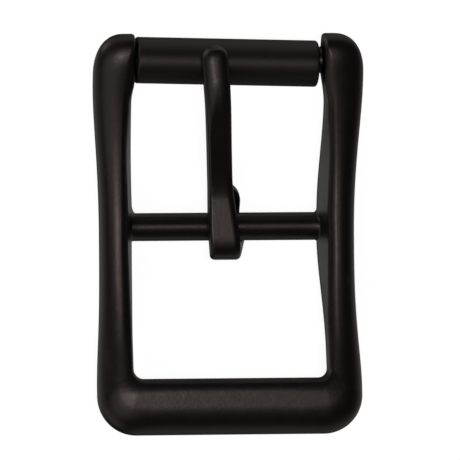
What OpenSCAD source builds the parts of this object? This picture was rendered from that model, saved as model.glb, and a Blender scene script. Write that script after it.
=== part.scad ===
// Roller buckle with a centre bar, for a 38 mm strap.
// It lies on its back: +X runs across the strap, +Y towards the roller and +Z up to the show side.
// The origin is under the middle of the buckle, on the surface that it rests on.

/* [Strap] */
// Width of the strap that the buckle takes
strap_w = 38; // [36:0.5:40]
// Play between the strap and the two rails at the waist
strap_play = 0.6; // [0.3:0.1:1.2]

/* [Frame plan] */
// Length of the frame, from the lugs' ends to the foot
frame_l = 82.8; // [81:0.1:84.5]
// Width of a rail at the waist
rail_w = 7.25; // [6.8:0.05:7.8]
// Distance of the waist below the middle of the frame
waist_y = 2; // [0:0.5:4]
// How much further out each lug stands than the waist
lug_flare = 1.6; // [1.2:0.05:2]
// How much further out each side of the foot stands than the waist
foot_flare = 1.1; // [0.8:0.05:1.4]
// Width of the foot bar
foot_w = 11.7; // [11:0.1:12.5]
// Radius of the foot's outer corners
foot_r = 8.1; // [7:0.1:9]
// Radius of the opening's lower corners
foot_inner_r = 2; // [1.4:0.1:2.4]

/* [Frame height] */
// Height of the rails' crest at the waist
crest_z = 12.8; // [12.4:0.1:13.2]
// How much higher the crest runs at the lugs
lug_lift = 4.1; // [3.6:0.1:4.6]
// How much higher the crest runs at the foot
foot_lift = 3.6; // [3:0.1:4]
// Height of the rails' back at the waist
back_z = 2.4; // [2.2:0.1:2.5]
// Thickness of the foot bar
foot_t = 6.6; // [6:0.1:7.2]
// Thickness of the lugs
lug_t = 9.6; // [9:0.1:10.4]

/* [Bars] */
// Diameter of the centre bar, which carries the tongue and the strap
centre_bar_d = 5.8; // [5.5:0.05:5.85]
// Distance of the centre bar above the middle of the frame
centre_bar_y = 1.6; // [1:0.1:2.2]
// Diameter of the bar inside the roller
roller_bar_d = 5.44; // [5.2:0.02:5.6]
// Distance of the roller bar from the middle of the frame
roller_bar_y = 35.9; // [35.6:0.1:36.1]
// Height of the roller bar's axis
roller_bar_z = 12.4; // [12.2:0.1:12.6]
// Radius of the fillets where the bars grow out of the frame
bar_fillet = 0.5; // [0.3:0.1:0.6]

/* [Roller] */
// Outside diameter of the roller
roller_d = 9.6; // [9.4:0.1:9.8]
// Thickness of the sheet that the roller is rolled from
roller_sheet = 0.85; // [0.8:0.05:0.9]
// Length of the roller
roller_l = 38; // [37.5:0.1:38.1]
// Width of the seam where the sheet's edges meet
roller_seam = 0.35; // [0.2:0.05:0.5]
// How far the middle of the loose roller hangs off its bar's axis, towards the foot
roller_hang = 0.35; // [0.2:0.05:0.6]
// How far the roller lies askew on its bar, in degrees
roller_skew = 1.4; // [0:0.1:1.5]

/* [Tongue] */
// Distance of the tongue's tip from the middle of the frame
tip_y = 39; // [38.4:0.1:39.4]
// Height of the tip's top, where it lies on the roller
tip_z = 20.6; // [20.5:0.1:20.8]
// Thickness of the tongue's shank
tongue_t = 3.3; // [3.1:0.1:3.35]
// Width of the tongue's shank
tongue_w = 5.05; // [4.8:0.05:5.4]
// Width of the tongue's loop
loop_w = 6.35; // [6:0.05:6.6]
// Radial play of the tongue's loop on the centre bar
loop_play = 0.4; // [0.3:0.05:0.45]
// Thickness of the loop under the bar
loop_floor_t = 2.22; // [2:0.02:2.4]
// How far the shank leans to the left, in degrees
lean = 4.5; // [4:0.1:5]

/* [Hidden] */

finish = "#2b2628";
$fn = 96;

// ---------- shared helpers ----------

function mix(a, b, t) = a + (b - a) * t;
function clamp01(t) = min(1, max(0, t));
// 0 below a, 1 above b and a smooth rise between them
function rise(a, b, t) = let (u = clamp01((t - a) / (b - a))) u * u * (3 - 2 * u);

// Elliptical arc from point p to point r, tangent to the lines pq and qr, at fraction t
function arc_point(p, q, r, t) =
    let (u = 1 - t, w = sqrt(0.5) * 2 * u * t)
    (u * u * p + w * q + t * t * r) / (u * u + w + t * t);
// The arc's points from step a to step b, out of n steps
function arc(p, q, r, n, a = 0) = [for (i = [a:n]) arc_point(p, q, r, i / n)];

// Closed skin over rings of equal length, each end drawn to a point
module skin(rings, tip_a, tip_b) {
    k = len(rings[0]);
    n = len(rings);
    points = concat([for (r = rings) each r], [tip_a, tip_b]);
    sides = [for (i = [0:n - 2], j = [0:k - 1])
        let (a = i * k + j, b = i * k + (j + 1) % k)
        each [[a, b, b + k], [a, b + k, a + k]]];
    cap_a = [for (j = [0:k - 1]) [n * k, (j + 1) % k, j]];
    cap_b = [for (j = [0:k - 1]) [n * k + 1, (n - 1) * k + j, (n - 1) * k + (j + 1) % k]];
    polyhedron(points, concat(sides, cap_a, cap_b));
}

// Mirror image of a point on the other side of the buckle
function mirrored(p) = [-p[0], p[1], p[2]];

// ---------- frame ----------

half_l = frame_l / 2;
// Half width of the opening and of the frame at the waist
waist_in = (strap_w + strap_play) / 2;
waist_out = waist_in + rail_w;
// Half width between the lugs, and over them
lug_face = waist_in + 0.2;
lug_out = waist_out + lug_flare;
foot_out = waist_out + foot_flare;
// Half width of the opening where it is widest, above and below the waist
belly_in = waist_in + 0.85;
// Inner edge of the foot bar, and the start of the rounded lug ends
foot_y = -half_l + foot_w;
lug_end_b = 8.65;
lug_y = half_l - lug_end_b;
// Where the inner and the outer foot corners begin
inner_turn_y = foot_y + foot_inner_r;
outer_turn_y = -half_l + foot_r;
// Steps along the lug's end, the rail, the corner and half the foot, and along each arc of a section
lug_steps = 9;
rail_steps = 24;
corner_steps = 9;
foot_steps = 7;
arc_steps = 5;

// Half width of the opening, and of the frame, at y along the rails
function inner_x(y) = mix(waist_in, mix(belly_in, lug_face, rise(27, 33.5, y)), rise(0, 25, abs(y - 2)));
function outer_x(y) = let (u = y + waist_y)
    u > 0 ? waist_out + lug_flare * rise(0, 1, pow(u / (32 + waist_y), 1.35))
          : waist_out + foot_flare * rise(0, 1, pow(-u / (32 - waist_y), 1.6));

// Heights along the rails. The crest has risen in full at crest_run from the middle of the frame.
crest_run = 34;
function crest_at(y) = crest_z + (y > 0 ? lug_lift : foot_lift) * pow(y / crest_run, 2);
function back_at(y) =
    mix(back_z, y > 0 ? crest_z + lug_lift - lug_t : foot_crest_z - foot_t, rise(6, 36, abs(y)));
// Height of the inner wall below the crest: tall at the waist, short at the foot, tall again in the lugs
function wall_at(y) = y > -1 ? 5.8 + 0.6 * rise(4, -1, y) - 3.8 * rise(6, 27, y) + 3.6 * rise(30, 36, y)
                             : foot_wall + 4.6 * pow(1 - pow(min(1, (-1 - y) / 28), 2), 4);
// Slope of the inner wall: steeper at the waist, and upright in the lugs
function draft_at(y) = mix(0.31 + 0.25 * rise(8, 26, abs(y)), 0.04, rise(26, 31, y));
// Distance of the crest from the outer edge
function crest_out_at(y) = 3.95 + 1.55 * rise(6, 34, y) + 0.7 * rise(30, 37, y) + 0.95 * rise(-4, -24, y);
// The crest is nearly a line along the rails, and the outermost line lies this far below it
crest_flat = 0.3;
edge_drop = 2.8;

// One section of the frame, from the innermost point p_in to the outermost point p_out.
// crest_in and crest_flat place the crest; the heights are measured down from the crest.
function section(p_in, p_out, crest_in, crest_flat, top, back, wall, draft, drop, squash = 1, mid_z = 0) =
    let (
        w = norm(p_out - p_in),
        across = (p_out - p_in) / w,
        wall_z = top - wall,
        brow = min(1.2, wall - 0.9),
        soft = 0.6,
        edge_z = top - drop,
        land_a = w * 0.32,
        land_b = w * 0.62,
        outline = concat(
            arc([0, wall_z - soft], [0, wall_z], [draft * soft, wall_z + soft], 2),
            arc([draft * (wall - brow), top - brow], [draft * wall, top], [crest_in, top], arc_steps),
            arc([crest_in + crest_flat, top], [w, top], [w, edge_z], arc_steps),
            arc([w, edge_z], [w, back], [land_b, back], arc_steps, 1),
            arc([land_a, back], [0, back], [0, wall_z - soft], arc_steps)
        )
    )
    [for (i = [0:len(outline) - 2]) let (q = outline[i], p = p_in + across * q[0])
        [p[0], p[1], mid_z + (q[1] - mid_z) * squash]];

// Foot values. The rail's values give way to them along turn_l of the band's middle line, which
// starts on the rail, at turn_start_y, and runs round the corner.
foot_crest_in = 3.1;
foot_crest_flat = 2.6;
foot_wall = 1.8;
foot_drop = 4.6;
// How much further in the crest runs round the corner, and what part of its last rise comes early
corner_tuck = 0.5;
corner_lead = 0.5;
foot_crest_z = crest_z + foot_lift;
turn_start_y = -22;
turn_l = 25;
turn_y = (inner_turn_y + outer_turn_y) / 2;
corner_l = PI / 2 * (foot_inner_r + foot_r) / 2;

// Section of the band from p_in to p_out: at y along the rail, and u past the start of the turn
function rail_section(p_in, p_out, y, u = 0, squash = 1, mid_z = 0) =
    let (
        w = norm(p_out - p_in),
        t = rise(0, turn_l, u),
        tuck = corner_tuck * (rise(4, 15, u) - rise(15, 24, u)),
        crest_in = mix(max(w * 0.2, w - crest_out_at(y)) - crest_flat, foot_crest_in, t) - tuck,
        flat = mix(crest_flat, foot_crest_flat, rise(9, 21, u)),
        crest_y = mix(p_in[1], p_out[1], (crest_in + flat / 2) / w),
        top = mix(crest_at(max(crest_y, -crest_run)), foot_crest_z, corner_lead * t)
    )
    section(p_in, p_out, crest_in, flat, top, mix(back_at(y), foot_crest_z - foot_t, t),
            mix(wall_at(y), foot_wall, t), draft_at(y), mix(edge_drop, foot_drop, t), squash, mid_z);

// Rounded end of the lug: a full curve outside, a small radius inside, and a dome from front to back
lug_end_a = 6.4;
lug_inner_r = 0.7;
dome_y = 32.5;
lug_mid_z = crest_z + lug_lift - edge_drop;
function super_round(u, n) = pow(1 - pow(u, n), 1 / n);
function lug_section(angle) =
    let (
        y = lug_y + lug_end_b * sin(angle),
        v = max(0, y - (half_l - lug_inner_r)) / lug_inner_r,
        x_in = inner_x(y) + lug_inner_r * (1 - sqrt(1 - v * v)),
        x_out = outer_x(y) - lug_end_a * (1 - super_round(sin(angle), 2.3)),
        dome = sqrt(1 - pow(max(0, y - dome_y) / (half_l - dome_y), 2.4))
    )
    rail_section([x_in, y], [x_out, y], y, 0, dome, lug_mid_z);

// Along the rail the inner and the outer end of a section drift apart, to fan round the corner
function rail_step(t) =
    let (y_in = mix(lug_y, inner_turn_y, t), y_out = mix(lug_y, outer_turn_y, t), y = (y_in + y_out) / 2)
    rail_section([inner_x(y_in), y_in], [outer_x(y_out), y_out], y, turn_start_y - y);
function corner_section(angle) =
    rail_section([belly_in - foot_inner_r * (1 - cos(angle)), inner_turn_y - foot_inner_r * sin(angle)],
                 [foot_out - foot_r * (1 - cos(angle)), outer_turn_y - foot_r * sin(angle)],
                 turn_y, turn_start_y - turn_y + corner_l * angle / 90);
function foot_step(t) =
    let (x_in = mix(belly_in - foot_inner_r, 0, t), x_out = mix(foot_out - foot_r, 0, t))
    rail_section([x_in, foot_y], [x_out, -half_l], turn_y,
                 turn_start_y - turn_y + corner_l + (belly_in - foot_inner_r) * t);

right_half = concat(
    [for (i = [lug_steps:-1:1]) lug_section(i * 80 / lug_steps)],
    [for (i = [0:rail_steps - 1]) rail_step(i / rail_steps)],
    [for (i = [0:corner_steps]) corner_section(i * 90 / corner_steps)],
    [for (i = [1:foot_steps]) foot_step(i / foot_steps)]
);
left_half = [for (i = [len(right_half) - 2:-1:0]) [for (p = right_half[i]) mirrored(p)]];
lug_tip = [lug_face + lug_inner_r + 0.3, half_l, lug_mid_z];

centre_bar_z = centre_bar_d / 2 + loop_play + loop_floor_t;
centre_bar_half_l = waist_in + 3.2;
roller_bar_half_l = lug_face + 2.4;

// A bar across the frame. A fillet at each end blends its upper side into a wall at wall_x.
module bar(d, half_l, wall_x, y, z) {
    translate([0, y, z]) rotate([0, 90, 0]) {
        cylinder(h = 2 * half_l, d = d, center = true);
        for (side = [0, 1]) mirror([0, 0, side]) intersection() {
            rotate_extrude() difference() {
                translate([0, wall_x - bar_fillet]) square([d / 2 + bar_fillet, bar_fillet * 2.2]);
                translate([d / 2 + bar_fillet, wall_x - bar_fillet]) circle(bar_fillet);
            }
            translate([-d, -d, 0]) cube([d + 1, 2 * d, half_l]);
        }
    }
}

module frame() {
    color(finish) union() {
        skin(concat(right_half, left_half), lug_tip, mirrored(lug_tip));
        bar(centre_bar_d, centre_bar_half_l, waist_in + 0.45, centre_bar_y, centre_bar_z);
        bar(roller_bar_d, roller_bar_half_l, lug_face, roller_bar_y, roller_bar_z);
    }
}

// ---------- roller ----------

// Rounding of the roller's edges, and how far the loose roller sinks below its bar's axis
roller_edge = 0.6;
roller_drop_z = 0.15;
// The roller lies nearer the left lug
roller_x = -0.3;

module roller() {
    r = roller_d / 2;
    color(finish) translate([roller_x, roller_bar_y - roller_hang, roller_bar_z - roller_drop_z])
        rotate([0, 0, -roller_skew]) rotate([0, 90, 0]) difference() {
            rotate_extrude() for (side = [0, 1]) mirror([0, side]) {
                translate([r - roller_sheet, 0]) square([roller_sheet, roller_l / 2 - roller_edge]);
                translate([r - roller_sheet, 0]) square([roller_sheet - roller_edge, roller_l / 2]);
                translate([r - roller_edge, roller_l / 2 - roller_edge]) circle(roller_edge);
            }
            cylinder(h = roller_l + 2, r = r - roller_sheet, center = true);
            translate([r - roller_sheet / 2, 0, 0])
                cube([2 * roller_sheet + 1, roller_seam, roller_l + 2], center = true);
        }
}

// ---------- tongue ----------

bore_r = centre_bar_d / 2 + loop_play;
// The loop is drawn a little inside its bore, which is then cut true
bore_skin = 0.15;
// Thickness of the loop in front of the bar
loop_front_t = 3.6;
loop_top_z = centre_bar_z + bore_r + tongue_t;
// The strip runs askew round the bar: middle of the loop's floor across the buckle, and where the
// shank's leaning middle line crosses the bar
loop_x = 2.1;
shank_x = -0.86;
// Foot and head of the slope between the loop and the tip, and how far the tip then falls
slope_y = [9.2, 28.2];
tip_fall = 0.25;
// Radius of the tip, and how far its rounded end is bevelled down
tip_r = 3.2;
tip_bevel = 1.7;
// How far the underside falls towards the roller
under_fall = 0.24;
// How far the flat top of the loop and of the shank's lower half lies to the left
top_shift = 0.45;
// The tail: where it bends up behind the bar, its slope, its thickness and how far it reaches.
// It is bent a little askew.
tail_bend_y = 3.6;
tail_slope = 34;
tail_t = 2;
tail_y = 10.8;
tail_x = 0.5;
// Steps round the loop, along each straight run, round each bend and round each end
loop_steps = 18;
run_steps = 4;
bend_steps = 4;
end_steps = 6;
end_angle = 80;

function lean_x(y) = shank_x - (y - centre_bar_y) * tan(lean);
function width_at(y) = mix(loop_w, tongue_w, rise(-1, 11, y)) + 0.55 * rise(16, 40, y);
// The long edges are bevelled at the loop and rounder towards the tip
function crown_at(y) = mix(1.1, 2.6, rise(19, 31, y));
function edge_at(y) = mix(0.9, 1.2, rise(19, 31, y));

// Ring round the tongue from its inner point p to its outer point q, of width w, at x
function ring(p, q, x, w, crown, edge, under = 0.5, shift = 0) =
    let (
        h = w / 2,
        t = norm(q - p),
        outline = concat(
            arc([-under + h, 0], [h, 0], [h, under], 2),
            arc([h, t - edge], [h, t], [h - crown + shift, t], 4),
            arc([crown - h + shift, t], [-h, t], [-h, t - edge], 4),
            arc([-h, under], [-h, 0], [under - h, 0], 2)
        )
    )
    [for (f = outline) let (g = mix(p, q, f[1] / t)) [x - f[0], g[0], g[1]]];

// A line through four points, with its two bends rounded
function run(p, q) = [for (i = [1:run_steps - 1]) mix(p, q, i / run_steps)];
function shank_line(line) =
    let (
        a = mix(line[1], line[0], 0.3),
        b = mix(line[1], line[2], 0.18),
        c = mix(line[2], line[1], 0.2),
        d = mix(line[2], line[3], 0.5)
    )
    concat([line[0]], run(line[0], a), arc(a, line[1], b, bend_steps), run(b, c),
           arc(c, line[2], d, bend_steps), run(d, line[3]), [line[3]]);

// The underside is set off square to the slope by the tongue's thickness
slope_angle = atan((tip_z - loop_top_z) / (slope_y[1] - slope_y[0]));
set_off = tongue_t * tan(slope_angle / 2);
tip_mid_y = tip_y - tip_r;
top_line = shank_line([[centre_bar_y, loop_top_z], [slope_y[0], loop_top_z], [slope_y[1], tip_z],
                       [tip_mid_y, tip_z - tip_fall * 0.6]]);
under_line = shank_line([[centre_bar_y, loop_top_z - tongue_t], [slope_y[0] + set_off, loop_top_z - tongue_t],
                         [slope_y[1] + set_off, tip_z - tongue_t],
                         [tip_mid_y, tip_z - tongue_t - under_fall]]);
last = len(top_line) - 1;

function shift_at(y) = top_shift * rise(31, 19, y);
function shank_ring(p, q) =
    ring(p, q, lean_x(q[0]), width_at(q[0]), crown_at(q[0]), edge_at(q[0]), 0.5, shift_at(q[0]));
function tip_ring(angle) =
    let (
        y = tip_mid_y + tip_r * sin(angle),
        c = cos(angle),
        p = [y, under_line[last][1] + 0.3 * (1 - c)],
        q = [y, top_line[last][1] - tip_fall * 0.4 * sin(angle) - tip_bevel * pow(1 - c, 1.2)]
    )
    ring(p, q, lean_x(tip_mid_y), width_at(tip_mid_y) * c, crown_at(y) * c,
         edge_at(y) * mix(0.5, 1, c), 0.5 * c);

// The loop's outside, from the shank's top round the front to the floor. The front is nearly square:
// the shank's top runs on flat past the bar before it turns down.
function loop_point(angle, r) = [centre_bar_y + r * cos(angle), centre_bar_z + r * sin(angle)];
function loop_r(angle) = angle < 180
    ? pow(pow(sin(angle) / (bore_r + tongue_t), 4) + pow(cos(angle) / (bore_r + loop_front_t), 4), -1 / 4)
    : bore_r + mix(loop_front_t, loop_floor_t, rise(180, 262, angle));
function loop_ring(angle) =
    let (p = loop_point(angle, bore_r - bore_skin), q = loop_point(angle, loop_r(angle)))
    ring(p, q, mix(lean_x(q[0]), loop_x, rise(140, 265, angle)), width_at(min(q[0], 2)), 1.1, 0.9, 0.5,
         top_shift * rise(180, 90, angle));

tail_dir = [cos(tail_slope), sin(tail_slope)];
tail_up = [-tail_dir[1], tail_dir[0]];
tail_r = loop_w / 2;
tail_mid = [tail_bend_y, 0] + tail_dir * (tail_y - tail_r - tail_bend_y) / cos(tail_slope);
function tail_ring(p, q, c = 1) =
    ring(p, q, mix(loop_x, tail_x, rise(centre_bar_y, tail_bend_y + 2, q[0])), loop_w * c,
         0.9 * c, 0.6 * mix(0.6, 1, c), 0.4 * c);
tail_start_y = centre_bar_y + 0.6;
tail_bottom = arc([tail_start_y, 0], [tail_bend_y, 0], mix([tail_bend_y, 0], tail_mid, 0.6), bend_steps);
tail_top_z = centre_bar_z - bore_r + bore_skin;
tail_mid_top = tail_mid + tail_up * tail_t;
tail_corner = [tail_bend_y - 0.7, tail_top_z];
tail_top = arc([tail_start_y, tail_top_z], tail_corner, mix(tail_corner, tail_mid_top, 0.6), bend_steps);

tongue_rings = concat(
    [for (i = [end_steps:-1:1]) tip_ring(end_angle * i / end_steps)],
    [for (i = [last:-1:0]) shank_ring(under_line[i], top_line[i])],
    [for (i = [1:loop_steps]) loop_ring(90 + 180 * i / loop_steps)],
    [for (i = [0:bend_steps]) tail_ring(tail_top[i], tail_bottom[i])],
    [for (i = [0:end_steps]) let (
            angle = end_angle * i / end_steps,
            step = tail_dir * tail_r * sin(angle) / cos(tail_slope)
        )
        tail_ring(tail_mid_top + step, tail_mid + step, cos(angle))]
);

module tongue() {
    tail_tip = tail_mid + tail_dir * tail_r / cos(tail_slope) + tail_up * tail_t / 2;
    color(finish) difference() {
        skin(tongue_rings, [lean_x(tip_mid_y), tip_y, under_line[last][1] + 0.8],
             [tail_x, tail_tip[0], tail_tip[1]]);
        translate([loop_x, centre_bar_y, centre_bar_z]) rotate([0, 90, 0])
            cylinder(h = 3 * loop_w, r = bore_r, center = true);
    }
}

frame();
roller();
tongue();
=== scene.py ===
"""Looks of the roller belt buckle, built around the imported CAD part.

Shapes are worked out in millimetres with the CAD part's own measures, and scaled to metres once.
+X runs across the strap, +Y towards the roller and +Z out of the show side.
"""

import math

import bmesh
import bpy
import numpy as np
from mathutils import Matrix, Vector
from mathutils.bvhtree import BVHTree


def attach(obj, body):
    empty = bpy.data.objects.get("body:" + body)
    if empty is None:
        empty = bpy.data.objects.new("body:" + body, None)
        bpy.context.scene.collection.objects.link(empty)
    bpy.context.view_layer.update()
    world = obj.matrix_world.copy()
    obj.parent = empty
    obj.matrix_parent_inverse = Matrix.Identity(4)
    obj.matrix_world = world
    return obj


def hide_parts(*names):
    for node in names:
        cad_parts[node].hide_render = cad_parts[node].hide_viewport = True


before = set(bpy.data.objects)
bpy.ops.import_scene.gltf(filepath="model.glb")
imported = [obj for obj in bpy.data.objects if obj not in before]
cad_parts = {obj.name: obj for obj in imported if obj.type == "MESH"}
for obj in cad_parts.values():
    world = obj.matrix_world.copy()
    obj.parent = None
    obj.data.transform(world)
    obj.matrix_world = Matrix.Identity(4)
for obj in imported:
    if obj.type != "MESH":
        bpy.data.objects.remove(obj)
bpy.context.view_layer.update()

MM = 0.001

# ---------------------------------------------------------------- measures, as in the CAD part

# The frame in plan: half widths of the opening and of the frame at the waist, which lies WAIST_Y
# below the middle, and how much further out the lugs and the foot stand
HALF_L = 41.4
WAIST_IN, WAIST_OUT, WAIST_Y = 19.3, 26.55, 2.0
LUG_FLARE, FOOT_FLARE = 1.6, 1.1
LUG_FACE = WAIST_IN + 0.2
BELLY_IN = WAIST_IN + 0.85
FOOT_W, FOOT_R, FOOT_INNER_R = 11.7, 8.1, 2.0
FOOT_OUT = WAIST_OUT + FOOT_FLARE
FOOT_Y = -HALF_L + FOOT_W
INNER_TURN_Y = FOOT_Y + FOOT_INNER_R
OUTER_TURN_Y = -HALF_L + FOOT_R

# Heights of its crest and its back, and where the crest has risen in full
CREST_Z, LUG_LIFT, FOOT_LIFT = 12.8, 4.1, 3.6
CREST_RUN = 34.0
BACK_Z, FOOT_T, LUG_T = 2.4, 6.6, 9.6
FOOT_CREST_Z = CREST_Z + FOOT_LIFT

# A section's crest and outermost line, and the values that give way to them at the foot
CREST_FLAT, EDGE_DROP = 0.3, 2.8
FOOT_CREST_IN, FOOT_CREST_FLAT, FOOT_WALL, FOOT_DROP = 3.1, 2.6, 1.8, 4.6
# Rounding at the top and at the foot of the inner wall, and the flat part of the back
BROW, WALL_SOFT = 1.2, 0.6
LAND_FROM, LAND_TO = 0.32, 0.62

# The turn from rail to foot, along the band's middle line: where it starts, how long it runs, how
# much further in the crest goes round the corner and what part of its last rise comes early
TURN_START_Y, TURN_L = -22.0, 25.0
TURN_Y = (INNER_TURN_Y + OUTER_TURN_Y) / 2
CORNER_L = math.pi / 2 * (FOOT_INNER_R + FOOT_R) / 2
CORNER_TUCK, CORNER_LEAD = 0.5, 0.5

# The lugs' rounded ends
LUG_END_A, LUG_END_B, LUG_INNER_R = 6.4, 8.65, 0.7
LUG_Y = HALF_L - LUG_END_B
LUG_MID_Z = CREST_Z + LUG_LIFT - EDGE_DROP
DOME_Y = 32.5

# The centre bar, with the tongue's loop round it, and the roller bar
BAR_D, BAR_Y = 5.8, 1.6
LOOP_PLAY, LOOP_FLOOR_T = 0.4, 2.22
BAR_Z = BAR_D / 2 + LOOP_PLAY + LOOP_FLOOR_T
ROLLER_BAR_D, ROLLER_BAR_Y, ROLLER_BAR_Z = 5.44, 35.9, 12.4

# The loose roller, and where the middle of its axis lies
ROLLER_D, ROLLER_SHEET, ROLLER_L, ROLLER_SEAM, ROLLER_EDGE = 9.6, 0.85, 38.0, 0.35, 0.6
ROLLER_AT = (-0.3, 35.55, 12.25)
ROLLER_SKEW = 1.4             # degrees, the right end hangs lower

# The tongue: its sizes, how it lies askew across the buckle, its slope, its tip and its tail
TONGUE_T, TONGUE_W, LOOP_W, LOOP_FRONT_T = 3.3, 5.05, 6.35, 3.6
LEAN, LOOP_X, SHANK_X, TOP_SHIFT = 4.5, 2.1, -0.86, 0.45
SLOPE_Y = (9.2, 28.2)
BORE_R = BAR_D / 2 + LOOP_PLAY
LOOP_TOP_Z = BAR_Z + BORE_R + TONGUE_T
TIP_Y, TIP_Z, TIP_R, TIP_FALL, UNDER_FALL, TIP_BEVEL = 39.0, 20.6, 3.2, 0.25, 0.24, 1.7
TIP_MID_Y = TIP_Y - TIP_R
TAIL_BEND_Y, TAIL_SLOPE, TAIL_T, TAIL_Y, TAIL_X = 3.6, 34.0, 2.0, 10.8, 0.5

# ---------------------------------------------------------------- helpers


def mix(a, b, t):
    return a + (b - a) * t


def rise(a, b, t):
    """0 before a, 1 after b, and a smooth rise between them."""
    u = min(1.0, max(0.0, (t - a) / (b - a)))
    return u * u * (3 - 2 * u)


def arc(p, q, r, n, first=0):
    """Points of an elliptical arc from p to r, tangent to pq and qr, from step first to step n."""
    p, q, r = (np.asarray(v, float) for v in (p, q, r))
    out = []
    for i in range(first, n + 1):
        t = i / n
        u = 1 - t
        w = math.sqrt(0.5) * 2 * u * t
        out.append((u * u * p + w * q + t * t * r) / (u * u + w + t * t))
    return out


def new_object(name, verts, faces):
    """An object in the scene, from vertices in millimetres."""
    mesh = bpy.data.meshes.new(name)
    mesh.from_pydata([tuple(float(c) * MM for c in v) for v in verts], [], faces)
    mesh.validate()
    mesh.update()
    obj = bpy.data.objects.new(name, mesh)
    bpy.context.scene.collection.objects.link(obj)
    return obj


def skin(rings, tip_a, tip_b):
    """Vertices and faces of a closed skin over rings of equal length, drawn to a point at each end."""
    k, n = len(rings[0]), len(rings)
    verts = [p for ring in rings for p in ring] + [tip_a, tip_b]
    faces = []
    for i in range(n - 1):
        for j in range(k):
            a, b = i * k + j, i * k + (j + 1) % k
            faces.append((a, b, b + k, a + k))
    for j in range(k):
        faces.append((n * k, (j + 1) % k, j))
        faces.append((n * k + 1, (n - 1) * k + j, (n - 1) * k + (j + 1) % k))
    return verts, faces


def face_out(obj):
    """Joins doubled vertices and turns every face outwards."""
    bm = bmesh.new()
    bm.from_mesh(obj.data)
    bmesh.ops.remove_doubles(bm, verts=bm.verts, dist=1e-7)
    bmesh.ops.recalc_face_normals(bm, faces=bm.faces)
    bm.to_mesh(obj.data)
    bm.free()


def smooth(obj, angle):
    """Shades an object smooth, but for edges sharper than angle degrees."""
    obj.data.shade_smooth()
    obj.data.set_sharp_from_angle(angle=math.radians(angle))


# ---------------------------------------------------------------- frame


def inner_x(y):
    """Half width of the opening."""
    belly = mix(BELLY_IN, LUG_FACE, rise(27, 33.5, y))
    return mix(WAIST_IN, belly, rise(0, 25, abs(y - 2)))


def outer_x(y):
    """Half width of the frame."""
    u = y + WAIST_Y
    if u > 0:
        return WAIST_OUT + LUG_FLARE * rise(0, 1, (u / (32 + WAIST_Y)) ** 1.35)
    return WAIST_OUT + FOOT_FLARE * rise(0, 1, (-u / (32 - WAIST_Y)) ** 1.6)


def crest_at(y):
    return CREST_Z + (LUG_LIFT if y > 0 else FOOT_LIFT) * (y / CREST_RUN) ** 2


def back_at(y):
    end = CREST_Z + LUG_LIFT - LUG_T if y > 0 else FOOT_CREST_Z - FOOT_T
    return mix(BACK_Z, end, rise(6, 36, abs(y)))


def wall_at(y):
    """Height of the inner wall below the crest: tall at the waist and in the lugs."""
    if y > -1:
        return 5.8 + 0.6 * rise(4, -1, y) - 3.8 * rise(6, 27, y) + 3.6 * rise(30, 36, y)
    return FOOT_WALL + 4.6 * (1 - min(1, (-1 - y) / 28) ** 2) ** 4


def draft_at(y):
    """Slope of the inner wall: steeper at the waist, and upright in the lugs."""
    return mix(0.31 + 0.25 * rise(8, 26, abs(y)), 0.04, rise(26, 31, y))


def crest_out_at(y):
    """Distance of the crest from the outer edge."""
    return 3.95 + 1.55 * rise(6, 34, y) + 0.7 * rise(30, 37, y) + 0.95 * rise(-4, -24, y)


def section(p_in, p_out, crest_in, crest_flat, top, back, wall, draft, drop, squash, mid_z):
    """One section of the frame, from its innermost point to its outermost one. crest_in and
    crest_flat place the crest, and wall and drop are measured down from it. The two extra points on
    the crest keep it level when the mesh is shaded smooth."""
    p_in, p_out = np.asarray(p_in, float), np.asarray(p_out, float)
    w = float(np.linalg.norm(p_out - p_in))
    across = (p_out - p_in) / w
    wall_z, edge_z = top - wall, top - drop
    brow = min(BROW, wall - 0.9)
    soft_a, soft_b = (0, wall_z - WALL_SOFT), (draft * WALL_SOFT, wall_z + WALL_SOFT)
    line = []
    line += arc(soft_a, (0, wall_z), soft_b, 6)
    line += arc((draft * (wall - brow), top - brow), (draft * wall, top), (crest_in, top), 18)
    line += [(crest_in + crest_flat * f, top) for f in (0.06, 0.94)]
    line += arc((crest_in + crest_flat, top), (w, top), (w, edge_z), 18)
    line += arc((w, edge_z), (w, back), (w * LAND_TO, back), 12, 1)
    line += arc((w * LAND_FROM, back), (0, back), soft_a, 12)
    out = []
    for across_mm, z in line[:-1]:
        p = p_in + across * across_mm
        out.append((p[0], p[1], mid_z + (z - mid_z) * squash))
    return out


def rail_section(p_in, p_out, y, u=0.0, squash=1.0, mid_z=0.0):
    """Section of the band from p_in to p_out: at y along the rail, and u past the start of the turn.
    Over TURN_L of the turn the rail's values give way to the foot's."""
    w = math.dist(p_in, p_out)
    t = rise(0, TURN_L, u)
    crest_in = mix(max(w * 0.2, w - crest_out_at(y)) - CREST_FLAT, FOOT_CREST_IN, t)
    crest_in -= CORNER_TUCK * (rise(4, 15, u) - rise(15, 24, u))
    flat = mix(CREST_FLAT, FOOT_CREST_FLAT, rise(9, 21, u))
    crest_y = mix(p_in[1], p_out[1], (crest_in + flat / 2) / w)
    top = mix(crest_at(max(crest_y, -CREST_RUN)), FOOT_CREST_Z, CORNER_LEAD * t)
    return section(p_in, p_out, crest_in, flat, top,
                   mix(back_at(y), FOOT_CREST_Z - FOOT_T, t), mix(wall_at(y), FOOT_WALL, t),
                   draft_at(y), mix(EDGE_DROP, FOOT_DROP, t), squash, mid_z)


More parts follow.
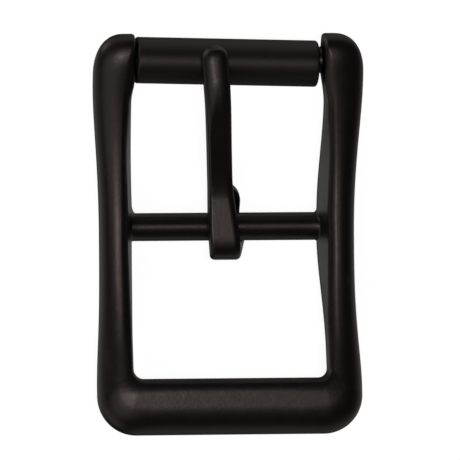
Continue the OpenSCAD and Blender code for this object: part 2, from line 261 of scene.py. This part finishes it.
def lug_section(angle):
    """Section of the lug's end: a full curve outside, a small radius inside and a dome over both."""
    s = math.sin(math.radians(angle))
    y = LUG_Y + LUG_END_B * s
    v = max(0.0, y - (HALF_L - LUG_INNER_R)) / LUG_INNER_R
    x_in = inner_x(y) + LUG_INNER_R * (1 - math.sqrt(1 - v * v))
    x_out = outer_x(y) - LUG_END_A * (1 - (1 - s ** 2.3) ** (1 / 2.3))
    dome = math.sqrt(1 - (max(0.0, y - DOME_Y) / (HALF_L - DOME_Y)) ** 2.4)
    return rail_section((x_in, y), (x_out, y), y, 0.0, dome, LUG_MID_Z)


def rail_step(t):
    """Along the rail the two ends of a section drift apart, to fan round the corner."""
    y_in, y_out = mix(LUG_Y, INNER_TURN_Y, t), mix(LUG_Y, OUTER_TURN_Y, t)
    y = (y_in + y_out) / 2
    return rail_section((inner_x(y_in), y_in), (outer_x(y_out), y_out), y, TURN_START_Y - y)


def corner_section(angle):
    c, s = math.cos(math.radians(angle)), math.sin(math.radians(angle))
    p_in = (BELLY_IN - FOOT_INNER_R * (1 - c), INNER_TURN_Y - FOOT_INNER_R * s)
    p_out = (FOOT_OUT - FOOT_R * (1 - c), OUTER_TURN_Y - FOOT_R * s)
    return rail_section(p_in, p_out, TURN_Y, TURN_START_Y - TURN_Y + CORNER_L * angle / 90)


def foot_step(t):
    x_in, x_out = mix(BELLY_IN - FOOT_INNER_R, 0, t), mix(FOOT_OUT - FOOT_R, 0, t)
    u = TURN_START_Y - TURN_Y + CORNER_L + (BELLY_IN - FOOT_INNER_R) * t
    return rail_section((x_in, FOOT_Y), (x_out, -HALF_L), TURN_Y, u)


def frame_skin():
    """Both halves of the band, from the end of one lug round the foot to the end of the other."""
    lug, rail, corner, foot = 34, 110, 32, 26
    lug_angle = 88.8
    right = [lug_section(lug_angle * i / lug) for i in range(lug, 0, -1)]
    right += [rail_step(i / rail) for i in range(rail)]
    right += [corner_section(90 * i / corner) for i in range(corner + 1)]
    right += [foot_step(i / foot) for i in range(1, foot + 1)]
    left = [[(-p[0], p[1], p[2]) for p in ring] for ring in right[-2::-1]]
    tip = (LUG_FACE + LUG_INNER_R + 0.3, HALF_L, LUG_MID_Z)
    obj = new_object("buckle_frame", *skin(right + left, tip, (-tip[0], tip[1], tip[2])))
    face_out(obj)
    return obj


def bar(name, tree, d, y0, z0, fillets):
    """A bar cast in between both rails, whose skin is in tree. fillets gives, for each side and
    direction, the size of the fillet along the bar and along the wall."""
    r, around, steps, mid = d / 2, 96, 7, 24
    least_fillet, embed, buried = 0.12, 0.03, 0.9
    low = back_at(y0) + 0.25      # the fillets stay above the rail's back

    def wall_x(side, y, z, otherwise):
        """Where the wall stands, seen from the middle of the opening."""
        hit = tree.ray_cast(Vector((0, y * MM, z * MM)), Vector((side, 0, 0)))[0]
        return otherwise if hit is None else abs(hit.x) / MM

    def end_line(side, angle):
        """A line along the bar, round its fillet and on into the wall."""
        cy, cz = math.cos(angle), math.sin(angle)
        along, outward = fillets(side, angle)
        near = wall_x(side, y0 + r * cy, z0 + r * cz, WAIST_IN + 0.3)
        if z0 + (r + outward) * cz < low:
            outward = max(least_fillet, (low - z0) / cz - r)
        far = wall_x(side, y0 + (r + outward) * cy, z0 + (r + outward) * cz, near)
        line = arc((near - along, r), (near, r), (far + embed, r + outward), steps)
        line.append((far + buried, r + outward * 0.6))
        return [(side * x, y0 + out * cy, z0 + out * cz) for x, out in line]

    left, right = ([end_line(side, 2 * math.pi * j / around) for j in range(around)]
                   for side in (-1, 1))
    rings = [[line[i] for line in left] for i in range(steps + 1, -1, -1)]
    for i in range(1, mid):
        rings.append([mix(np.array(a[0]), np.array(b[0]), i / mid) for a, b in zip(left, right)])
    rings += [[line[i] for line in right] for i in range(steps + 2)]
    tip = max(abs(p[0]) for ring in rings for p in ring)
    obj = new_object(name, *skin(rings, (-tip, y0, z0), (tip, y0, z0)))
    face_out(obj)
    return obj


def centre_fillets(side, angle):
    """Small all round, with a long casting fillet towards the roller, the larger one at the left."""
    up = max(0.0, math.cos(angle)) ** 3
    if side < 0:
        return 0.4 + 0.5 * up, 0.4 + 2.2 * up
    return 0.4 + 0.15 * up, 0.4 + 0.7 * up


def roller_fillets(side, angle):
    return 0.3, 0.4


def cast_together(body, parts):
    """Unites the parts with the body, and takes them out of the scene."""
    bpy.context.view_layer.objects.active = body
    for part in parts:
        mod = body.modifiers.new("cast", "BOOLEAN")
        mod.operation, mod.solver, mod.object = "UNION", "EXACT", part
        bpy.ops.object.modifier_apply(modifier=mod.name)
        bpy.data.objects.remove(part)


def make_frame():
    """The band with its centre bar and its roller bar, cast in one."""
    body = frame_skin()
    tree = BVHTree.FromPolygons([v.co.copy() for v in body.data.vertices],
                                [tuple(p.vertices) for p in body.data.polygons])
    parts = [bar("centre_bar", tree, BAR_D, BAR_Y, BAR_Z, centre_fillets),
             bar("roller_bar", tree, ROLLER_BAR_D, ROLLER_BAR_Y, ROLLER_BAR_Z, roller_fillets)]
    cast_together(body, parts)
    smooth(body, 50)
    return body


# ---------------------------------------------------------------- roller


def roller_profile():
    """Section of the roller's wall, as places along the axis and radii: outside, rounded outer rim,
    sharp inner rim, inside, and both rims again."""
    r, inner, half = ROLLER_D / 2, ROLLER_D / 2 - ROLLER_SHEET, ROLLER_L / 2
    rim = [(half - ROLLER_EDGE * (1 - math.sin(a)), r - ROLLER_EDGE * (1 - math.cos(a)))
           for a in np.linspace(0, math.pi / 2, 9)[1:]]
    rim += [(half - 0.02, inner + 0.1), (half - 0.1, inner + 0.02)]
    profile = [(x, r) for x in np.linspace(ROLLER_EDGE - half, half - ROLLER_EDGE, 40)] + rim
    profile += [(x, inner) for x in np.linspace(half - 0.3, 0.3 - half, 20)]
    return profile + [(-x, rad) for x, rad in reversed(rim)]


def make_roller():
    """A tube rolled from sheet, with an open seam at the back. The sheet's edges dip a little into
    the seam."""
    r, around = ROLLER_D / 2, 160
    seam_dip, dip_steps, dip_depth = 0.12, 1.2, 0.3
    gap = math.asin(ROLLER_SEAM / 2 / (r - ROLLER_SHEET / 2))
    profile = roller_profile()
    k = len(profile)
    verts, faces = [], []
    for i in range(around + 1):
        a = -math.pi / 2 + gap + (2 * math.pi - 2 * gap) * i / around
        dip = seam_dip * (math.exp(-i / dip_steps) + math.exp((i - around) / dip_steps))
        for x, rad in profile:
            if rad > r - dip_depth:
                rad -= dip
            verts.append((x, rad * math.cos(a), rad * math.sin(a)))
    for i in range(around):
        for j in range(k):
            a, b = i * k + j, i * k + (j + 1) % k
            faces.append((a, b, b + k, a + k))
    faces.append(tuple(range(k - 1, -1, -1)))
    faces.append(tuple(around * k + j for j in range(k)))
    turn, at = Matrix.Rotation(math.radians(-ROLLER_SKEW), 3, "Z"), Vector(ROLLER_AT)
    obj = new_object("strap_roller", [turn @ Vector(v) + at for v in verts], faces)
    face_out(obj)
    smooth(obj, 40)
    return obj


# ---------------------------------------------------------------- tongue

END_ANGLE, END_STEPS = 87, 22      # of the rounded ends, at the tip and at the tail

# The bevel round the tip lies on a cone, about an upright axis NOSE_BACK behind the middle of the
# rounded end. At the very tip it is NOSE_FOOT above the underside.
NOSE_SLOPE, NOSE_SOFT, NOSE_FOOT, NOSE_BACK = 1.5, 0.12, 1.45, 2.1


def lean_x(y):
    """Middle of the shank, which leans to the left."""
    return SHANK_X - (y - BAR_Y) * math.tan(math.radians(LEAN))


def width_at(y):
    return mix(LOOP_W, TONGUE_W, rise(-1, 11, y)) + 0.55 * rise(16, 40, y)


def crown_at(y):
    """Width of the rounding of the long upper edges: a bevel at the loop, rounder at the tip."""
    return mix(1.1, 2.6, rise(19, 31, y))


def edge_at(y):
    """Height of the same rounding."""
    return mix(0.9, 1.2, rise(19, 31, y))


def ring(p, q, x, w, crown, edge, under=0.5, shift=0.0):
    """Ring round the tongue from its inner point p to its outer point q, of width w, at x. The points
    beside the arcs keep the flats flat when the mesh is shaded smooth."""
    p, q = np.asarray(p, float), np.asarray(q, float)
    h, t = w / 2, float(np.linalg.norm(q - p))
    line = []
    line += arc((-under + h, 0), (h, 0), (h, under), 5)
    line += arc((h, t - edge), (h, t), (h - crown + shift, t), 12)
    line += [(mix(h - crown, crown - h, f) + shift, t) for f in (0.06, 0.94)]
    line += arc((crown - h + shift, t), (-h, t), (-h, t - edge), 12)
    line += arc((-h, under), (-h, 0), (under - h, 0), 5)
    out = []
    for across, height in line:
        g = mix(p, q, height / t)
        out.append((x - across, g[0], g[1]))
    return out


def run(p, q, n):
    """Points between p and q, without both ends."""
    return [mix(p, q, i / n) for i in range(1, n)]


def bent_line(line):
    """A line through four points, with its two bends rounded."""
    line = [np.asarray(v, float) for v in line]
    a, b = mix(line[1], line[0], 0.3), mix(line[1], line[2], 0.18)
    c, d = mix(line[2], line[1], 0.2), mix(line[2], line[3], 0.5)
    return ([line[0]] + run(line[0], a, 8) + arc(a, line[1], b, 14) + run(b, c, 24)
            + arc(c, line[2], d, 14) + run(d, line[3], 8) + [line[3]])


def shank_lines():
    """Top and underside of the shank. The underside is set off square to the slope."""
    slope = math.atan((TIP_Z - LOOP_TOP_Z) / (SLOPE_Y[1] - SLOPE_Y[0]))
    off = TONGUE_T * math.tan(slope / 2)
    top = bent_line([(BAR_Y, LOOP_TOP_Z), (SLOPE_Y[0], LOOP_TOP_Z), (SLOPE_Y[1], TIP_Z),
                     (TIP_MID_Y, TIP_Z - TIP_FALL * 0.6)])
    low = bent_line([(BAR_Y, LOOP_TOP_Z - TONGUE_T), (SLOPE_Y[0] + off, LOOP_TOP_Z - TONGUE_T),
                     (SLOPE_Y[1] + off, TIP_Z - TONGUE_T),
                     (TIP_MID_Y, TIP_Z - TONGUE_T - UNDER_FALL)])
    return top, low


def shank_ring(p, q):
    y = q[0]
    return ring(p, q, lean_x(y), width_at(y), crown_at(y), edge_at(y), 0.5,
                TOP_SHIFT * rise(31, 19, y))


def nosed(points, low_z):
    """Bevels the end of the tip, with a soft edge between the bevel and the top."""
    x0, cone_y, foot_z = lean_x(TIP_MID_Y), TIP_MID_Y - NOSE_BACK, low_z + NOSE_FOOT
    out = []
    for x, y, z in points:
        bevel = foot_z + NOSE_SLOPE * (TIP_Y - cone_y - math.hypot(x - x0, y - cone_y))
        gap = z - bevel
        if z > foot_z and gap > -4 * NOSE_SOFT:
            z = max(foot_z, z - (gap + math.sqrt(gap * gap + NOSE_SOFT ** 2)) / 2)
        out.append((x, y, z))
    return out


def tip_ring(angle, top_z, low_z):
    s, c = math.sin(math.radians(angle)), math.cos(math.radians(angle))
    y = TIP_MID_Y + TIP_R * s
    p = (y, low_z + 0.3 * (1 - c))
    q = (y, top_z - TIP_FALL * 0.4 * s - TIP_BEVEL * (1 - c) ** 1.2)
    points = ring(p, q, lean_x(TIP_MID_Y), width_at(TIP_MID_Y) * c, crown_at(y) * c,
                  edge_at(y) * mix(0.5, 1, c), 0.5 * c)
    return nosed(points, low_z)


def loop_r(angle):
    """The loop's outside: nearly square in front, so that the shank's top runs on past the bar."""
    if angle > 180:
        return BORE_R + mix(LOOP_FRONT_T, LOOP_FLOOR_T, rise(180, 262, angle))
    up, front = math.sin(math.radians(angle)), math.cos(math.radians(angle))
    return ((up / (BORE_R + TONGUE_T)) ** 4 + (front / (BORE_R + LOOP_FRONT_T)) ** 4) ** -0.25


def loop_ring(angle):
    a = math.radians(angle)
    out = np.array([math.cos(a), math.sin(a)])
    bore = np.array([BAR_Y, BAR_Z])
    p, q = bore + BORE_R * out, bore + loop_r(angle) * out
    return ring(p, q, mix(lean_x(q[0]), LOOP_X, rise(140, 265, angle)), width_at(min(q[0], 2)),
                1.1, 0.9, 0.25, TOP_SHIFT * rise(180, 90, angle))


def tail_ring(p, q, c=1.0):
    """Ring of the tail, drawn in by c at its rounded end and kept clear of the bore."""
    x = mix(LOOP_X, TAIL_X, rise(BAR_Y, TAIL_BEND_Y + 2, q[0]))
    bore = np.array([BAR_Y, BAR_Z])
    gap = p - bore
    if np.linalg.norm(gap) < BORE_R:
        p = bore + gap / np.linalg.norm(gap) * BORE_R
    return ring(p, q, x, LOOP_W * c, 0.9 * c, 0.6 * mix(0.6, 1, c), 0.4 * c)


def tail_rings():
    """Rings from the loop's floor up the tail, and the point at its end. The floor runs level to a
    bend and then slopes up behind the bar."""
    slope = math.radians(TAIL_SLOPE)
    along = np.array([math.cos(slope), math.sin(slope)])
    upward = np.array([-along[1], along[0]])
    end_r = LOOP_W / 2
    start_y, top_z, steps = BAR_Y + 0.6, BAR_Z - BORE_R + 0.05, 16
    bend, top_bend = np.array([TAIL_BEND_Y, 0.0]), np.array([TAIL_BEND_Y - 0.7, top_z])
    low = bend + along * ((TAIL_Y - end_r - TAIL_BEND_Y) / along[0])
    top = low + upward * TAIL_T
    low_line = arc((start_y, 0), bend, mix(bend, low, 0.6), steps)
    top_line = arc((start_y, top_z), top_bend, mix(top_bend, top, 0.6), steps)
    rings = [tail_ring(p, q) for p, q in zip(top_line, low_line)]
    for i in range(END_STEPS + 1):
        a = math.radians(END_ANGLE * i / END_STEPS)
        step = along * end_r * math.sin(a) / along[0]
        rings.append(tail_ring(top + step, low + step, math.cos(a)))
    end = low + along * end_r / along[0] + upward * TAIL_T / 2
    return rings, (TAIL_X, end[0], end[1])


def make_tongue():
    """One bent bar: from its tip down the shank, round the centre bar and up the tail."""
    top, low = shank_lines()
    top_z, low_z = top[-1][1], low[-1][1]
    loop_steps = 56
    rings = [tip_ring(END_ANGLE * i / END_STEPS, top_z, low_z) for i in range(END_STEPS, 0, -1)]
    rings += [shank_ring(p, q) for p, q in zip(low[::-1], top[::-1])]
    rings += [loop_ring(90 + 180 * i / loop_steps) for i in range(1, loop_steps + 1)]
    tail, tail_end = tail_rings()
    tip_end = (lean_x(TIP_MID_Y), TIP_Y, low_z + 0.8)
    obj = new_object("tongue_bar", *skin(rings + tail, tip_end, tail_end))
    face_out(obj)
    smooth(obj, 60)
    return obj


# ---------------------------------------------------------------- finish


def new_material(name):
    """An empty material, with its nodes, its links and its surface socket."""
    mat = bpy.data.materials.new(name)
    mat.use_nodes = True
    nodes, links = mat.node_tree.nodes, mat.node_tree.links
    nodes.clear()
    return mat, nodes, links, nodes.new("ShaderNodeOutputMaterial").inputs["Surface"]


def satin_black(name, seed, roughness):
    """Black lacquer over cast metal: fine grain, soft mottling, and edges painted a little lighter,
    partly as rubbed wear and partly as a painted sheen of the rim's reflection.
    """
    mat, nodes, links, surface = new_material(name)
    shader = nodes.new("ShaderNodeBsdfPrincipled")
    links.new(shader.outputs["BSDF"], surface)
    coords = nodes.new("ShaderNodeTexCoord")

    def noise(scale, detail, offset):
        shift = nodes.new("ShaderNodeMapping")
        shift.inputs["Location"].default_value = (seed * 0.37 + offset, seed * 0.11, offset)
        links.new(coords.outputs["Object"], shift.inputs["Vector"])
        node = nodes.new("ShaderNodeTexNoise")
        node.inputs["Scale"].default_value = scale
        node.inputs["Detail"].default_value = detail
        node.inputs["Roughness"].default_value = 0.6
        links.new(shift.outputs["Vector"], node.inputs["Vector"])
        return node.outputs["Fac"]

    def ramp(value, low, high):
        """A colour ramp between two stops, each a position and a colour."""
        node = nodes.new("ShaderNodeValToRGB")
        links.new(value, node.inputs["Fac"])
        for element, (position, colour) in zip(node.color_ramp.elements, (low, high)):
            element.position, element.color = position, (*colour, 1)
        return node.outputs["Color"]

    def blend(factor, a, b):
        """A mix of two colours, whose sockets are numbers 6 and 7, with the result on number 2."""
        node = nodes.new("ShaderNodeMix")
        node.data_type = "RGBA"
        links.new(factor, node.inputs["Factor"])
        links.new(a, node.inputs[6])
        links.new(b, node.inputs[7])
        return node.outputs[2]

    # Noise in waves per metre: the grain's are 0.15 mm long, and the cloud's 11 mm
    cloud = noise(90, 3, 0.3)
    mottle = noise(420, 4, 0.1)
    blotch = noise(1300, 3, 0.7)
    grain = noise(6500, 3, 0.5)

    base = ramp(cloud, (0.35, (0.0042, 0.0034, 0.0036)), (0.7, (0.0056, 0.0044, 0.0046)))
    # Lighter, warmer colour on sharp convex edges: partly rubbed wear, partly a painted rim sheen that
    # stands in for the edges' reflection
    rubbed_and_rim_sheen = ramp(mottle, (0.3, (0.011, 0.0088, 0.0085)), (0.7, (0.019, 0.0145, 0.0135)))
    geometry = nodes.new("ShaderNodeNewGeometry")
    edge_wear_and_sheen_mask = ramp(geometry.outputs["Pointiness"], (0.52, (0, 0, 0)), (0.6, (1, 1, 1)))
    links.new(blend(edge_wear_and_sheen_mask, base, rubbed_and_rim_sheen), shader.inputs["Base Color"])

    rough = nodes.new("ShaderNodeMapRange")
    rough.inputs["From Min"].default_value, rough.inputs["From Max"].default_value = 0.3, 0.7
    rough.inputs["To Min"].default_value = roughness - 0.03
    rough.inputs["To Max"].default_value = roughness + 0.03
    links.new(mottle, rough.inputs["Value"])
    links.new(rough.outputs["Result"], shader.inputs["Roughness"])

    # Each layer of relief has its strength and its depth in metres
    normal = None
    for height, strength, depth in ((grain, 0.22, 0.00003), (blotch, 0.4, 0.00005),
                                    (mottle, 0.25, 0.00006)):
        bump = nodes.new("ShaderNodeBump")
        bump.inputs["Strength"].default_value = strength
        bump.inputs["Distance"].default_value = depth
        links.new(height, bump.inputs["Height"])
        if normal:
            links.new(normal, bump.inputs["Normal"])
        normal = bump.outputs["Normal"]
    links.new(normal, shader.inputs["Normal"])
    shader.inputs["Metallic"].default_value = 0.0
    shader.inputs["IOR"].default_value = 1.56
    shader.inputs["Specular Tint"].default_value = (1.0, 0.83, 0.78, 1)
    return mat


# The roller's lacquer is a little duller than the others'
pieces = [
    (make_frame(), "frame", "frame_satin_black", 0.32),
    (make_roller(), "roller", "roller_satin_black", 0.44),
    (make_tongue(), "tongue", "tongue_satin_black", 0.32),
]
for number, (piece, node, slot, roughness) in enumerate(pieces):
    piece.data.materials.clear()
    piece.data.materials.append(satin_black(slot, number + 1, roughness))
    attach(piece, node)
    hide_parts(node)

# ---------------------------------------------------------------- floor and light

AIM = Vector((0, 0, 8))       # the middle of the buckle, which the lamps look at
FLOOR_HALF = 20000


def glowing_white(name, strength, shade):
    """A grey surface that gives off white light of its own, so that it stays even and pale."""
    mat, nodes, links, surface = new_material(name)
    glow = nodes.new("ShaderNodeEmission")
    glow.inputs["Color"].default_value = (1, 1, 1, 1)
    glow.inputs["Strength"].default_value = strength
    matt = nodes.new("ShaderNodeBsdfDiffuse")
    matt.inputs["Color"].default_value = (shade, shade, shade, 1)
    add = nodes.new("ShaderNodeAddShader")
    links.new(glow.outputs[0], add.inputs[0])
    links.new(matt.outputs[0], add.inputs[1])
    links.new(add.outputs[0], surface)
    return mat


corners = [(-1, -1), (1, -1), (1, 1), (-1, 1)]
floor = new_object("floor", [(x * FLOOR_HALF, y * FLOOR_HALF, 0) for x, y in corners], [(0, 1, 2, 3)])
floor.data.materials.append(glowing_white("pale_floor", 0.9, 0.5))
floor.visible_glossy = False
floor.visible_shadow = False


def toward(azimuth, tilt):
    """Direction at tilt degrees off the vertical, azimuth degrees round from +X."""
    a, b = math.radians(azimuth), math.radians(tilt)
    return Vector((math.sin(b) * math.cos(a), math.sin(b) * math.sin(a), math.cos(b)))


def softbox(name, azimuth, tilt, size, distance, strength):
    """A round lamp that looks at the buckle, size across. Its power grows with its area, so that
    strength sets how bright it looks."""
    data = bpy.data.lights.new(name, "AREA")
    data.shape = "DISK"
    data.size = size * MM
    data.energy = strength * math.pi * (math.pi * (size * MM / 2) ** 2)
    lamp = bpy.data.objects.new(name, data)
    lamp.location = (AIM + toward(azimuth, tilt) * distance) * MM
    lamp.rotation_euler = toward(azimuth, tilt).to_track_quat("Z", "Y").to_euler()
    bpy.context.scene.collection.objects.link(lamp)


def studio_world(base, glows):
    """A dim room with soft glows, each given by its azimuth, tilt, radius and strength."""
    world = bpy.data.worlds.new("studio")
    bpy.context.scene.world = world
    world.use_nodes = True
    nodes, links = world.node_tree.nodes, world.node_tree.links
    coords = nodes.new("ShaderNodeTexCoord")
    total = None
    for azimuth, tilt, radius, strength in glows:
        dot = nodes.new("ShaderNodeVectorMath")
        dot.operation = "DOT_PRODUCT"
        links.new(coords.outputs["Generated"], dot.inputs[0])
        dot.inputs[1].default_value = toward(azimuth, tilt)
        glow = nodes.new("ShaderNodeMapRange")
        glow.interpolation_type = "SMOOTHSTEP"
        glow.inputs["From Min"].default_value = math.cos(math.radians(radius))
        glow.inputs["From Max"].default_value = 1.0
        dimmest = 0.0 if total else base
        glow.inputs["To Min"].default_value = dimmest
        glow.inputs["To Max"].default_value = dimmest + strength
        links.new(dot.outputs["Value"], glow.inputs["Value"])
        if total:
            add = nodes.new("ShaderNodeMath")
            links.new(total, add.inputs[0])
            links.new(glow.outputs["Result"], add.inputs[1])
            total = add.outputs[0]
        else:
            total = glow.outputs["Result"]
    links.new(total, nodes["Background"].inputs["Color"])


softbox("key", 187, 3, 210, 1050, 9.0)
softbox("upper_left_fill", 138, 68, 420, 700, 1.1)

# The floor is left out of the reflections, and the glows past 90 degrees stand in for its light
studio_world(0.035, [
    (215, 26, 30, 0.6),       # high, at the lower left
    (180, 125, 38, 0.5),      # low, at the left
    (185, 88, 30, 0.3),       # level, at the left
    (20, 10, 16, 0.4),        # overhead
    (95, 72, 24, 0.3),        # a little over level, beyond the roller
    (60, 100, 45, 0.35),      # level, at the upper right
    (130, 92, 40, 0.45),      # level, at the upper left
    (300, 100, 45, 0.28),     # level, at the lower right
    (225, 80, 34, 0.45),      # level, at the lower left
    (0, 116, 45, 0.32),       # low, at the right
    (0, 160, 40, 0.15),       # underneath
])

# ---------------------------------------------------------------- camera

# The view of the buckle: from above, leaning to the left, with a very long lens
VIEW_LEAN, VIEW_PITCH, VIEW_ROLL = (math.radians(v) for v in (8.40, -0.22, 0.44))
VIEW_DISTANCE, VIEW_WIDTH = 2000.0, 95.13
VIEW_OFFSET = (0.90, 0.87)
SENSOR = 36.0


def place_camera():
    """A camera at VIEW_DISTANCE from AIM, moved right and up by VIEW_OFFSET. Its picture is
    VIEW_WIDTH wide there."""
    out = Vector((-math.sin(VIEW_LEAN) * math.cos(VIEW_PITCH), math.sin(VIEW_PITCH),
                  math.cos(VIEW_LEAN) * math.cos(VIEW_PITCH)))
    level = Vector((math.cos(VIEW_LEAN), 0, math.sin(VIEW_LEAN)))
    upright = out.cross(level)
    right = level * math.cos(VIEW_ROLL) - upright * math.sin(VIEW_ROLL)
    up = level * math.sin(VIEW_ROLL) + upright * math.cos(VIEW_ROLL)
    data = bpy.data.cameras.new("camera")
    data.sensor_width = SENSOR
    data.lens = SENSOR * VIEW_DISTANCE / VIEW_WIDTH
    data.clip_end = 100.0
    camera = bpy.data.objects.new("camera", data)
    at = (AIM + right * VIEW_OFFSET[0] + up * VIEW_OFFSET[1] + out * VIEW_DISTANCE) * MM
    camera.matrix_world = Matrix.Translation(at) @ Matrix((right, up, out)).transposed().to_4x4()
    bpy.context.scene.collection.objects.link(camera)
    bpy.context.scene.camera = camera


place_camera()
bpy.context.scene.view_settings.view_transform = "Standard"
